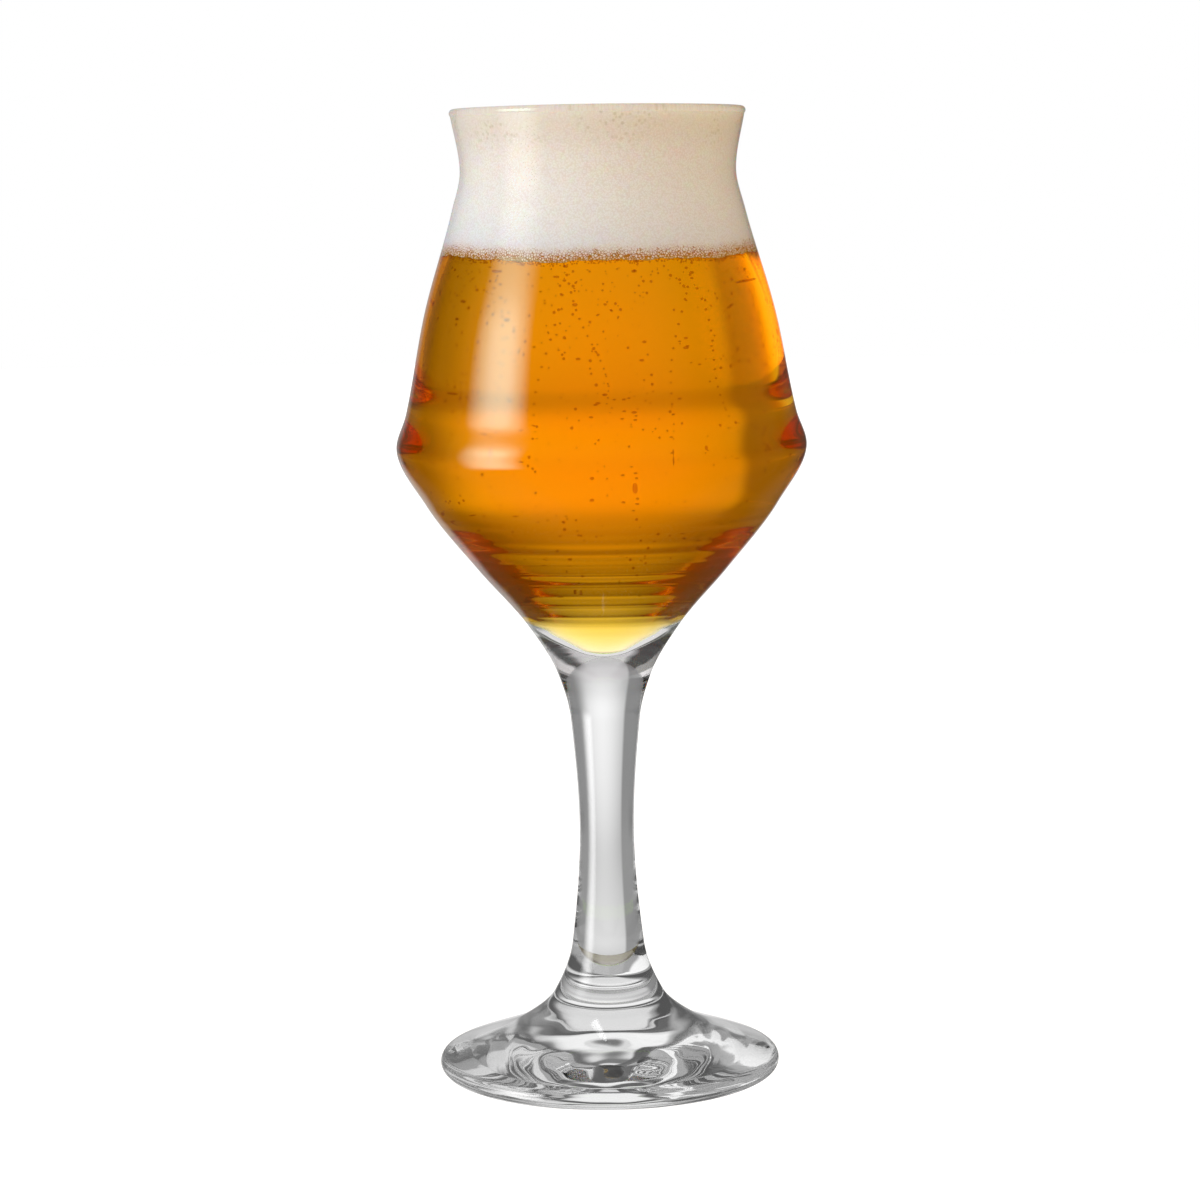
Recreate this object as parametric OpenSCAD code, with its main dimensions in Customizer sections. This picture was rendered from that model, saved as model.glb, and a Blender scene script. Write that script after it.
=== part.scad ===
// Tulip beer glass: a pressed foot, a drawn stem and a blown bowl fused into one stem glass,
// filled with beer under a head of foam. All lengths are millimetres, +Z is up, and the origin
// is the centre of the plane that the foot stands on.

/* [Foot] */
// Diameter of the foot over its rounded edge
foot_d = 74; // [66:0.2:90]
// Thickness of the rounded edge
foot_edge_t = 4.2; // [3:0.1:5.5]
// Height of the foot up to the weld with the stem
foot_h = 17; // [14:0.5:22]
// Height on the foot's cone where it starts to sweep up into the stem
foot_sweep_h = 10.6; // [9:0.2:12]
// Diameter of the foot at that height
foot_sweep_d = 38.6; // [32:0.2:46]
// Diameter of the hollow under the foot
foot_hollow_d = 58; // [40:0.5:60]
// Depth of that hollow at its middle
foot_hollow_h = 1.5; // [0.5:0.1:4]
// Diameter of the round dimple in the middle of the hollow
foot_dimple_d = 20; // [10:0.5:30]
// Depth of the dimple beyond the hollow
foot_dimple_h = 0.7; // [0.2:0.1:1.5]

/* [Stem] */
// Length of the stem from the weld on the foot to the weld on the bowl
stem_len = 70; // [50:1:95]
// Diameter of the stem at the weld on the foot
stem_root_d = 23.8; // [20:0.2:28]
// Height of the ankle, where the flare of the root ends, above the weld on the foot
stem_ankle_h = 11; // [6:0.5:16]
// Diameter at the ankle
stem_ankle_d = 15.6; // [13:0.2:19]
// Diameter at the waist, the thinnest place, half way between ankle and collar
stem_waist_d = 11.8; // [8:0.2:12.8]
// Drop of the collar, where the stem starts to widen, below the weld on the bowl
stem_collar_drop = 9.4; // [5:0.2:16]
// Diameter at the collar
stem_collar_d = 15; // [13:0.1:19]

/* [Bowl outside] */
// Height of the bowl from the weld on the stem to the top of the rim
bowl_h = 121; // [112:1:140]
// Diameter of the bowl at the weld on the stem
bowl_base_d = 20; // [19.2:0.2:26]
// Height of the knee, where the base opens into the cone, above the weld
bowl_knee_h = 11; // [7:0.5:15]
// Diameter at the knee
bowl_knee_d = 33; // [28:0.2:40]
// Height of the middle of the cone above the weld
bowl_cone_h = 23; // [18:0.5:29]
// Diameter at the middle of the cone
bowl_cone_d = 53.6; // [46:0.2:62]
// Height of the haunch, where the cone starts to round over, above the weld
bowl_haunch_h = 37; // [31:0.5:43]
// Diameter at the haunch
bowl_haunch_d = 75.4; // [66:0.2:86]
// Height of the ridge, the widest place, above the weld
bowl_ridge_h = 49.5; // [45:0.1:53]
// Diameter at the ridge
bowl_ridge_d = 87.8; // [86.4:0.2:100]
// Rise from the ridge to the crease that ends it
bowl_crease_rise = 6.9; // [4:0.1:12]
// Diameter at the crease
bowl_crease_d = 83.6; // [77:0.2:86]
// Diameter of the side wall half way between crease and throat
bowl_side_d = 74.8; // [66:0.2:81]
// Drop of the throat, where the wall starts to turn, below the top of the rim
bowl_throat_drop = 21.6; // [17:0.2:27]
// Diameter at the throat
bowl_throat_d = 62.4; // [60:0.2:70]
// Drop of the neck, the narrowest place of the mouth, below the top of the rim
bowl_neck_drop = 13; // [8:0.2:15]
// Diameter at the neck
bowl_neck_d = 58.6; // [54:0.2:61]
// Diameter of the flared mouth over its rim
rim_d = 62.8; // [61.4:0.2:70]
// Thickness of the rounded bead along the rim
rim_bead_t = 1.8; // [1.4:0.05:2.4]

/* [Bowl inside] */
// Wall of the bowl from the haunch up to the rim
wall_t = 1.5; // [1:0.05:2.2]
// Wall at the middle of the cone
cone_wall_t = 2.7; // [2:0.1:4]
// Solid glass between the weld and the bottom of the hollow
bowl_floor_t = 7; // [4:0.1:10]
// Radius of the rounded bottom of the hollow
bowl_cup_r = 6.4; // [5:0.2:12]

/* [Filling] */
// Height of the head of foam above the beer, at the wall
head_h = 30.2; // [15:0.2:45]
// Drop of the foam's edge below the top of the rim
head_drop = 1.2; // [0.5:0.1:10]
// Rise of the foam's crown over its edge
head_crown = 0.8; // [0.1:0.1:3]
// Gap that keeps the filling clear of the glass
fill_gap = 0.05; // [0.02:0.01:0.2]

/* [Hidden] */

$fn = 96;
// Straight steps along each span of an outline, along a round bottom or crown, and under the foot
span_steps = 7;
arc_steps = 12;
hollow_steps = 24;
glass_color = [0.86, 0.90, 0.92, 0.45];
beer_color = [0.86, 0.47, 0.04];
foam_color = [0.95, 0.91, 0.82];

bowl_z = foot_h + stem_len;
rim_z = bowl_z + bowl_h;
ridge_z = bowl_z + bowl_ridge_h;
crease_z = ridge_z + bowl_crease_rise;
throat_z = rim_z - bowl_throat_drop;
ankle_z = foot_h + stem_ankle_h;
collar_z = bowl_z - stem_collar_drop;
bead_r = rim_bead_t / 2;
bead_z = rim_z - bead_r;
wall_mid_r = rim_d / 2 - bead_r;
edge_r = foot_edge_t / 2;
edge_x = foot_d / 2 - edge_r;
// The cone of the foot leaves the round edge where its slope touches the circle
edge_slope = atan((foot_sweep_h - foot_edge_t) / (edge_x - foot_sweep_d / 2));

// Stations of the outside, [height, radius]: the foot, from its edge to the weld with the stem
foot_stations = [
    [edge_r + edge_r * cos(edge_slope), edge_x + edge_r * sin(edge_slope)],
    [foot_sweep_h, foot_sweep_d / 2],
    [foot_h, stem_root_d / 2]
];
// The stem, from above that weld to the weld with the bowl
stem_stations = [
    [ankle_z, stem_ankle_d / 2],
    [(ankle_z + collar_z) / 2, stem_waist_d / 2],
    [collar_z, stem_collar_d / 2],
    [bowl_z, bowl_base_d / 2]
];
// The solid base of the bowl
base_stations = [[bowl_z + bowl_knee_h, bowl_knee_d / 2]];
// The wall of the bowl, from the middle of the cone to the rim
wall_stations = [
    [bowl_z + bowl_cone_h, bowl_cone_d / 2],
    [bowl_z + bowl_haunch_h, bowl_haunch_d / 2],
    [ridge_z, bowl_ridge_d / 2],
    [crease_z, bowl_crease_d / 2],
    [(crease_z + throat_z) / 2, bowl_side_d / 2],
    [throat_z, bowl_throat_d / 2],
    [rim_z - bowl_neck_drop, bowl_neck_d / 2],
    [bead_z, wall_mid_r + wall_t / 2]
];
outside = concat(foot_stations, stem_stations, base_stations, wall_stations);
// Places in that list of the two welds, of the rim and of the middle of the cone
root_station = len(foot_stations) - 1;
base_station = root_station + len(stem_stations);
rim_station = len(outside) - 1;
cone_station = len(outside) - len(wall_stations);

// Slope of the straight line from station i to the next one
function chord(s, i) = (s[i + 1][1] - s[i][1]) / (s[i + 1][0] - s[i][0]);

// Slope of the smooth line at station i: level at a widest or narrowest place,
// otherwise the harmonic mean of the two chords, which never overshoots a station
function slope(s, i) =
    i == 0 ? chord(s, 0) :
    i == len(s) - 1 ? chord(s, i - 1) :
    let (below = chord(s, i - 1), above = chord(s, i))
    below * above <= 0 ? 0 : 2 * below * above / (below + above);

// Radius at the share t of the way from station i to the next, on a cubic with those slopes
function radius(s, i, t) =
    let (rise = s[i + 1][0] - s[i][0])
    (2 * t + 1) * pow(1 - t, 2) * s[i][1] + t * pow(1 - t, 2) * rise * slope(s, i)
    + t * t * (3 - 2 * t) * s[i + 1][1] - t * t * (1 - t) * rise * slope(s, i + 1);

// Outline points [radius, height] along the stations from the first to the last one named
function line(s, first, last) = concat(
    [for (i = [first:last - 1], k = [0:span_steps - 1])
        let (t = k / span_steps)
        [radius(s, i, t), s[i][0] + t * (s[i + 1][0] - s[i][0])]],
    [[s[last][1], s[last][0]]]);

// Stations of the inside, set square to the wall by its thickness and by a gap
function inset(gap) = [for (i = [cone_station:rim_station])
    let (thickness = (i == cone_station ? cone_wall_t : wall_t) + gap, m = slope(outside, i))
    [outside[i][0], outside[i][1] - thickness * sqrt(1 + m * m)]];

// Round bottom of the inside, from the axis out to where the wall leaves it as a tangent
function cup(gap, wall) =
    let (r = bowl_cup_r - gap, z = bowl_z + bowl_floor_t + bowl_cup_r, up = wall[0] - z)
    let (turn = atan2(wall[1], -up) - acos(r / norm([wall[1], up])))
    [for (k = [0:arc_steps]) let (a = turn * k / arc_steps) [r * sin(a), z - r * cos(a)]];

// Whole inside line, from the middle of the bottom up to the rim
function inside(gap) =
    let (wall = inset(gap), bottom = cup(gap, wall[0]), start = bottom[arc_steps])
    let (s = concat([[start[1], start[0]]], wall))
    concat([for (k = [0:arc_steps - 1]) bottom[k]], line(s, 0, len(s) - 1));

function reversed(points) = [for (k = [len(points) - 1:-1:0]) points[k]];

// Crown of the foam: a shallow parabola that falls from the axis to the wall
head_z = rim_z - head_drop;
head_r = wall_mid_r + bead_r;
crown = [for (k = [0:arc_steps])
    let (share = 1 - k / arc_steps)
    [head_r * share, head_z + head_crown * (1 - share * share)]];

// Height of the underside at a radius: a parabola up from the resting ring, and a wave for the dimple
function under_z(r) =
    foot_hollow_h * (1 - pow(2 * r / foot_hollow_d, 2))
    + (2 * r < foot_dimple_d ? foot_dimple_h * (1 + cos(360 * r / foot_dimple_d)) / 2 : 0);

// Hollow under the foot, from the axis out to the resting ring
hollow = [for (k = [0:hollow_steps])
    let (r = foot_hollow_d / 2 * k / hollow_steps)
    [r, under_z(r)]];

// Pressed foot: a round-edged cone on a flat ring, hollow below, with a round pad for the stem
module foot() {
    color(glass_color)
    rotate_extrude() {
        polygon(concat(hollow, [[edge_x, 0]], [[edge_x, edge_r]],
            line(outside, 0, root_station), [[0, foot_h]]));
        translate([edge_x, edge_r]) circle(edge_r);
    }
}

// Drawn stem: solid glass that flares into the weld at each end
module stem() {
    color(glass_color)
    rotate_extrude()
    polygon(concat([[0, foot_h]], line(outside, root_station, base_station), [[0, bowl_z]]));
}

// Blown bowl: solid below, then a thin wall that opens into the cone, turns in over the ridge
// and flares again to a beaded rim
module bowl() {
    color(glass_color)
    rotate_extrude() {
        polygon(concat([[0, bowl_z]], line(outside, base_station, rim_station),
            reversed(inside(0))));
        translate([wall_mid_r, bead_z]) circle(bead_r);
    }
}

// Filling of the bowl between two heights, clear of the wall
module filling(low, high) {
    intersection() {
        polygon(concat(inside(fill_gap), [[0, bead_z]]));
        translate([0, low]) square([bowl_ridge_d / 2, high - low]);
    }
}

// Beer up to the underside of the foam
module beer() {
    color(beer_color)
    rotate_extrude()
    filling(bowl_z, head_z - head_h);
}

// Head of foam: stands on the beer, fills the neck and is crowned at the top
module foam_head() {
    color(foam_color)
    rotate_extrude()
    intersection() {
        filling(head_z - head_h, bead_z);
        polygon(concat([[0, bowl_z], [bowl_ridge_d / 2, bowl_z], [bowl_ridge_d / 2, head_z]], crown));
    }
}

foot();
stem();
bowl();
beer();
foam_head();
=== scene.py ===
import math

import bpy
import numpy as np
from mathutils import Matrix, Vector


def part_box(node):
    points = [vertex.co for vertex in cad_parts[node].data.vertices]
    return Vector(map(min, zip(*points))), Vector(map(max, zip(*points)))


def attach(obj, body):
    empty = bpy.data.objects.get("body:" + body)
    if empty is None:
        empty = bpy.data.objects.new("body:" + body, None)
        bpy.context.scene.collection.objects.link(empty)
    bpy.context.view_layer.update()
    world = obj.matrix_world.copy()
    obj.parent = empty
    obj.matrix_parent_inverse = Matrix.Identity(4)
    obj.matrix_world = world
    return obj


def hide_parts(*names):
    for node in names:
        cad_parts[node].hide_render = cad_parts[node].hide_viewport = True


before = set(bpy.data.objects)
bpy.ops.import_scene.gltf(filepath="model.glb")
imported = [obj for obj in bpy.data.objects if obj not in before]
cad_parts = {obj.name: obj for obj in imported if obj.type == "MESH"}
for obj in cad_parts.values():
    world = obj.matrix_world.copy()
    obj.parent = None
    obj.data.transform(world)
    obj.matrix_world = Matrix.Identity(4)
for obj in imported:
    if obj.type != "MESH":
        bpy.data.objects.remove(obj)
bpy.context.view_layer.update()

# The foot
# A pressed disc of clear soda-lime glass with a thick round edge, polished in the fire.
# It stands on a flat ring round a shallow hollow with a dimple, and the stem is fused to the top of its cone.
foot_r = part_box("foot")[1].x
foot_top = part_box("foot")[1].z
foot_edge_r = 0.0021
foot_sweep_h, foot_sweep_r = 0.0106, 0.0193
foot_hollow_r, foot_hollow_h = 0.029, 0.0015
foot_dimple_r, foot_dimple_h = 0.010, 0.0007
root_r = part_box("stem")[1].x
# One line runs up the outside through foot, stem and bowl, so all its stations stand here:
# [height, radius] from the foot's edge to the rim.
stem_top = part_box("stem")[1].z
ankle_z, ankle_r = foot_top + 0.011, 0.0078
collar_z, collar_r = stem_top - 0.0094, 0.0075
waist_r = 0.0059
base_r = 0.010
heel_z, heel_r = stem_top + 0.011, 0.0165
cone_z, cone_r = stem_top + 0.023, 0.0268
flank_z, flank_r = stem_top + 0.037, 0.0377
rim_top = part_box("bowl")[1].z
ridge_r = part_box("bowl")[1].x
ridge_z = stem_top + 0.0495
crease_z, crease_r = ridge_z + 0.0069, 0.0418
side_r = 0.0374
throat_z, throat_r = rim_top - 0.0216, 0.0312
neck_z, neck_r = rim_top - 0.013, 0.0293
mouth_r = 0.0314
bead_r = 0.0009
wall = 0.0015
rim_middle_r = mouth_r - bead_r
bead_z = rim_top - bead_r
edge_x = foot_r - foot_edge_r
edge_tilt = math.atan((foot_sweep_h - 2 * foot_edge_r) / (edge_x - foot_sweep_r))
outside = np.array([
    [foot_edge_r * (1 + math.cos(edge_tilt)), edge_x + foot_edge_r * math.sin(edge_tilt)],
    [foot_sweep_h, foot_sweep_r],
    [foot_top, root_r],
    [ankle_z, ankle_r],
    [(ankle_z + collar_z) / 2, waist_r],
    [collar_z, collar_r],
    [stem_top, base_r],
    [heel_z, heel_r],
    [cone_z, cone_r],
    [flank_z, flank_r],
    [ridge_z, ridge_r],
    [crease_z, crease_r],
    [(crease_z + throat_z) / 2, side_r],
    [throat_z, throat_r],
    [neck_z, neck_r],
    [bead_z, rim_middle_r + wall / 2],
])


def slopes(stations):
    """Slope of the line at each station: level where it turns, else the harmonic mean of the chords."""
    chord = np.diff(stations[:, 1]) / np.diff(stations[:, 0])
    product = chord[:-1] * chord[1:]
    total = np.where(product > 0, chord[:-1] + chord[1:], 1)
    return np.r_[chord[0], np.where(product > 0, 2 * product / total, 0), chord[-1]]


def flowing_line(stations, steps=24):
    """Cubic through the stations with those slopes, as rows [radius, height], steps rows to a span."""
    z, r = stations.T
    m = slopes(stations)
    rise = np.diff(z)
    t = np.linspace(0, 1, steps, endpoint=False)[:, None]
    radius = ((2 * t + 1) * (1 - t) ** 2 * r[:-1] + t * (1 - t) ** 2 * rise * m[:-1]
              + t * t * (3 - 2 * t) * r[1:] - t * t * (1 - t) * rise * m[1:])
    height = z[:-1] + t * rise
    line = np.stack([radius.T.ravel(), height.T.ravel()], axis=1)
    return np.vstack([line, [r[-1], z[-1]]])


def between(line, low, high, hair=1e-7):
    """The part of a rising line between two heights, with its ends put exactly at them."""
    ends = np.interp([low, high], line[:, 1], line[:, 0])
    middle = line[(line[:, 1] > low + hair) & (line[:, 1] < high - hair)]
    return np.vstack([[ends[0], low], middle, [ends[1], high]])


def arc(middle, radius, start, end, steps):
    """Points [radius, height] of a circle's arc, angles in degrees from straight out, upward positive."""
    a = np.radians(np.linspace(start, end, steps))
    return np.stack([middle[0] + radius * np.cos(a), middle[1] + radius * np.sin(a)], axis=1)


round_sides = 192


def turned(line, sides=round_sides):
    """Carry a line [radius, height] round Z: point (i, j) = (r_i cos a_j, r_i sin a_j, z_i).

    The line's first and last rows lie on the axis and close the surface as poles.
    """
    a = np.arange(sides) * (2 * math.pi / sides)
    ring = line[1:-1]
    grid = np.stack(np.broadcast_arrays(
        ring[:, :1] * np.cos(a), ring[:, :1] * np.sin(a), ring[:, 1:]), axis=2)
    points = np.vstack([[[0, 0, line[0, 1]]], grid.reshape(-1, 3), [[0, 0, line[-1, 1]]]])
    at = 1 + np.arange(len(ring) * sides).reshape(len(ring), sides)
    after = np.roll(at, -1, axis=1)
    quads = np.stack([at[:-1], after[:-1], after[1:], at[1:]], axis=2).reshape(-1, 4)
    bottom = np.stack([np.zeros(sides, int), after[0], at[0]], axis=1)
    top = np.stack([at[-1], after[-1], np.full(sides, len(points) - 1)], axis=1)
    return points, bottom.tolist() + quads.tolist() + top.tolist()


def make_piece(name, points, faces, materials, slots=None, crisp=40):
    """A smooth-shaded mesh object at the origin, with its edges kept crisp above an angle in degrees."""
    mesh = bpy.data.meshes.new(name)
    mesh.from_pydata(points.tolist(), [], faces)
    for material in materials:
        mesh.materials.append(material)
    if slots is not None:
        mesh.polygons.foreach_set("material_index", slots)
    mesh.shade_smooth()
    mesh.set_sharp_from_angle(angle=math.radians(crisp))
    piece = bpy.data.objects.new(name, mesh)
    bpy.context.scene.collection.objects.link(piece)
    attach(piece, "root")
    return piece


def put(tree, kind, inputs=None, **settings):
    """Add a node with its settings, and link or set each of its inputs."""
    node = tree.nodes.new(kind)
    for name, value in settings.items():
        setattr(node, name, value)
    for name, value in (inputs or {}).items():
        if isinstance(value, bpy.types.NodeSocket):
            tree.links.new(value, node.inputs[name])
        else:
            node.inputs[name].default_value = value
    return node


def new_material(name):
    """An empty node material and its tree."""
    material = bpy.data.materials.new(name)
    material.use_nodes = True
    material.node_tree.nodes.clear()
    return material, material.node_tree


def calculate(tree, operation, first, second=0.0, **settings):
    """Output of a Math node on one or two values."""
    return put(tree, "ShaderNodeMath", {0: first, 1: second}, operation=operation, **settings).outputs[0]


# The times that a ray has turned or crossed are whole numbers, so each is tested half way below it.
once, twice, three_times = 0.5, 1.5, 2.5


def clear_body(tree, ior, normal, **extra):
    """Clear dielectric that lets shadow rays straight through, and what another piece mirrors first.

    Extra sets more of its sockets.
    """
    body = put(tree, "ShaderNodeBsdfPrincipled", {
        "Base Color": (1, 1, 1, 1), "Roughness": 0.0, "IOR": ior, "Transmission Weight": 1.0,
        "Normal": normal, **{name.replace("_", " "): value for name, value in extra.items()}})
    ray = put(tree, "ShaderNodeLightPath").outputs
    passing = put(tree, "ShaderNodeBsdfTransparent")
    straight = calculate(tree, "MAXIMUM", ray["Is Shadow Ray"], ray["Is Diffuse Ray"])
    turns = calculate(tree, "SUBTRACT", ray["Glossy Depth"], ray["Transmission Depth"])
    not_entered = calculate(tree, "LESS_THAN", ray["Transmission Depth"], once)
    mirrored_first = calculate(tree, "MULTIPLY", turns, not_entered, use_clamp=True)
    through = calculate(tree, "MAXIMUM", straight, mirrored_first)
    mix = put(tree, "ShaderNodeMixShader", {0: through, 1: body.outputs[0], 2: passing.outputs[0]})
    return put(tree, "ShaderNodeOutputMaterial", {"Surface": mix.outputs[0]})


glass_ior = 1.52


def clear_glass(name, ripple_size, ripple_depth, **extra):
    """Soda-lime glass whose skin is very slightly uneven from the fire; extra sets more sockets."""
    material, tree = new_material(name)
    place = put(tree, "ShaderNodeTexCoord").outputs["Object"]
    ripple = put(tree, "ShaderNodeTexNoise", {"Vector": place, "Scale": 1 / ripple_size, "Detail": 1.0})
    skin = put(tree, "ShaderNodeBump", {
        "Height": ripple.outputs["Fac"], "Strength": 1.0, "Distance": ripple_depth})
    clear_body(tree, glass_ior, skin.outputs["Normal"], **extra)
    return material


def output_of(material):
    """The node that a material ends in."""
    return next(node for node in material.node_tree.nodes if node.type == "OUTPUT_MATERIAL")


def take_light(material, strength, tint=(0.8, 0.8, 0.8, 1)):
    """Let thick glass take a little of the light that turns round in it, more the stronger."""
    tree = material.node_tree
    depth = put(tree, "ShaderNodeVolumeAbsorption", {"Color": tint, "Density": strength})
    tree.links.new(depth.outputs[0], output_of(material).inputs["Volume"])


pressed_glass = clear_glass("pressed_glass", ripple_size=0.012, ripple_depth=0.00006)
take_light(pressed_glass, strength=6.0)
# Glass runs on through a weld, so the two faces that meet there show nothing.
weld, weld_tree = new_material("weld")
weld_through = put(weld_tree, "ShaderNodeBsdfTransparent")
put(weld_tree, "ShaderNodeOutputMaterial", {"Surface": weld_through.outputs[0]})

hollow_steps = 60
hollow_x = np.linspace(0, foot_hollow_r, hollow_steps)
dimple = foot_dimple_h * (1 + np.cos(math.pi * np.minimum(hollow_x / foot_dimple_r, 1))) / 2
hollow = np.stack([hollow_x, foot_hollow_h * (1 - (hollow_x / foot_hollow_r) ** 2) + dimple], axis=1)
outer_line = flowing_line(outside)
foot_line = np.vstack([
    hollow,
    [[edge_x, 0]],
    arc((edge_x, foot_edge_r), foot_edge_r, start=-90, end=90 - math.degrees(edge_tilt), steps=24)[1:-1],
    between(outer_line, outside[0, 0], foot_top),
    [[0, foot_top]],
])


def face_slots(chosen, sides=round_sides):
    """Material slot of each face, where chosen gives one slot for each step of the line."""
    return np.repeat(chosen, sides)


# The press leaves the hollow uneven, which is what bends the light into swirls.
hollow_waves = [(0.0110, 0.5, 0.3), (0.0083, 1.7, 2.1), (0.0067, 2.9, 4.0), (0.0140, 4.1, 5.2)]
hollow_depth, hollow_fade = 0.00002, 0.25
foot_points, foot_faces = turned(foot_line)
under = slice(0, 1 + (len(hollow) - 1) * round_sides)
swing = sum(np.sin(2 * math.pi / length * (foot_points[under, 0] * math.cos(way)
                                           + foot_points[under, 1] * math.sin(way)) + phase)
            for length, way, phase in hollow_waves)
off_middle = np.hypot(foot_points[under, 0], foot_points[under, 1]) / foot_hollow_r
foot_points[under, 2] += hollow_depth * swing * np.clip((1 - off_middle) / hollow_fade, 0, 1)
weld_slot = 1
foot_slots = np.zeros(len(foot_line) - 1, int)
foot_slots[-1] = weld_slot
foot = make_piece("foot_glass", foot_points, foot_faces, [pressed_glass, weld], face_slots(foot_slots))
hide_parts("foot")

# The stem
# Solid clear glass drawn out of the bowl's gather, thinnest half way up.
# It flares at both ends, where it is fused to the foot and to the bowl.
drawn_glass = clear_glass("drawn_glass", ripple_size=0.02, ripple_depth=0.00004)
take_light(drawn_glass, strength=6.0)
stem_line = np.vstack([[[0, foot_top]], between(outer_line, foot_top, stem_top), [[0, stem_top]]])
stem_slots = np.zeros(len(stem_line) - 1, int)
stem_slots[[0, -1]] = weld_slot
stem = make_piece("stem_glass", *turned(stem_line), [drawn_glass, weld], face_slots(stem_slots))
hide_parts("stem")

# The bowl
# Blown clear glass: a solid base, a cone, a round ridge and a long wall that narrows to a neck.
# The mouth flares again and its rim is melted to a round bead.
beer_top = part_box("beer")[1].z
cone_wall = 0.0027
floor_z = stem_top + 0.007
cup_r = 0.0064
cone_station = 8


def inside_line(gap, steps=24):
    """Inside of the bowl from the middle of its bottom to the rim, drawn in by a gap.

    Each station of the wall moves square to it by its thickness, and a round cup of radius cup_r
    closes the bottom, left by the wall as a tangent.
    """
    tilt = slopes(outside)[cone_station:]
    thickness = np.full(len(tilt), wall + gap)
    thickness[0] = cone_wall + gap
    side = outside[cone_station:].copy()
    side[:, 1] -= thickness * np.sqrt(1 + tilt ** 2)
    radius = cup_r - gap
    middle = floor_z + cup_r
    reach = math.hypot(side[0, 1], side[0, 0] - middle)
    turn = math.degrees(math.atan2(side[0, 1], middle - side[0, 0]) - math.acos(radius / reach))
    cup = arc((0, middle), radius, start=-90, end=turn - 90, steps=28)
    return np.vstack([cup[:-1], flowing_line(np.vstack([cup[-1, ::-1], side]), steps)])


# The amber behind the bowl adds red to its gloss, so the gloss itself has less of it.
bowl_gloss = (0.62, 1, 0.82, 1)
blown_glass = clear_glass("blown_glass", ripple_size=0.025, ripple_depth=0.00003, Specular_Tint=bowl_gloss)
# Painted shade: where a ray has come up through the foot and the stem, the bowl shows a flat matt grey in
# place of its glass and beer.
overhead_painted_grey = (0.2, 0.2, 0.2, 1)


def lay_over(material, share, shader):
    """Mix another shader over what a material shows, by a share."""
    tree = material.node_tree
    surface = output_of(material).inputs["Surface"]
    mix = put(tree, "ShaderNodeMixShader", {0: share, 1: surface.links[0].from_socket, 2: shader.outputs[0]})
    tree.links.new(mix.outputs[0], surface)


blown_tree = blown_glass.node_tree
blown_ray = put(blown_tree, "ShaderNodeLightPath").outputs
blown_side = put(blown_tree, "ShaderNodeNewGeometry").outputs["Backfacing"]
blown_after = calculate(blown_tree, "GREATER_THAN", blown_ray["Transmission Depth"], twice)
blown_share = calculate(blown_tree, "SUBTRACT", blown_after, blown_side, use_clamp=True)
lay_over(blown_glass, blown_share, put(blown_tree, "ShaderNodeBsdfDiffuse", {"Color": overhead_painted_grey}))
bead_steps = 32
bead_dip = math.degrees(math.acos(wall / 2 / bead_r))
bead_foot = bead_z - bead_r * math.sin(math.radians(bead_dip))
inner_line = inside_line(0)
inner_side = inner_line[inner_line[:, 1] < bead_foot][::-1]
bowl_line = np.vstack([
    [[0, stem_top]],
    between(outer_line, stem_top, bead_foot)[:-1],
    arc((rim_middle_r, bead_z), bead_r, start=-bead_dip, end=180 + bead_dip, steps=bead_steps),
    inner_side,
])
# Beer and foam touch the inside and carry the refraction there, so the inner wall shows nothing.
bowl_slots = np.zeros(len(bowl_line) - 1, int)
bowl_slots[0] = weld_slot
bowl_slots[-(len(inner_side) + bead_steps // 2):] = weld_slot
# The gloss of the neck above the beer is turned down to a third, which dims the softbox's mirror image over
# the foam.
neck_gloss = (0.3, 0.3, 0.3, 1)
neck_glass = clear_glass("neck_glass", ripple_size=0.025, ripple_depth=0.00003, Specular_Tint=neck_gloss)
neck_slot = 2
step_z = bowl_line[:-1, 1]
bowl_slots[(bowl_slots == 0) & (step_z > beer_top) & (step_z < bead_foot)] = neck_slot
bowl = make_piece("bowl_glass", *turned(bowl_line), [blown_glass, weld, neck_glass], face_slots(bowl_slots))
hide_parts("bowl")

# The beer
# Clear amber beer that fills the bowl up to the foam and wets the wall all round.
# Its colour comes from the depth that light crosses: yellow where thin, deep amber in the belly.
fill_gap = 0.00005
beer_ior = 1.34
beer_tint = (0.977, 0.838, 0.0, 1)
beer_strength = 110.0
amber, amber_tree = new_material("amber_beer")
amber_place = put(amber_tree, "ShaderNodeTexCoord").outputs["Object"]
beer_swirl, beer_swirl_depth = 30.0, 0.00003
amber_swirl = put(amber_tree, "ShaderNodeTexNoise", {
    "Vector": amber_place, "Scale": beer_swirl, "Detail": 1.0})
amber_skin = put(amber_tree, "ShaderNodeBump", {
    "Height": amber_swirl.outputs["Fac"], "Strength": 1.0, "Distance": beer_swirl_depth})
# Light reaches the beer from the glass, so its index is taken against that of the glass.
# Painted light: a faint emission of its own stands in for the light that it scatters back.
beer_painted_glow, beer_painted_glow_strength = (0.65, 0.9, 0, 1), 0.014
amber_out = clear_body(amber_tree, beer_ior / glass_ior, amber_skin.outputs["Normal"],
                       Emission_Color=beer_painted_glow, Emission_Strength=beer_painted_glow_strength)


def times(tree, value, *others):
    """Product of two or more values."""
    for other in others:
        value = calculate(tree, "MULTIPLY", value, other)
    return value


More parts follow.
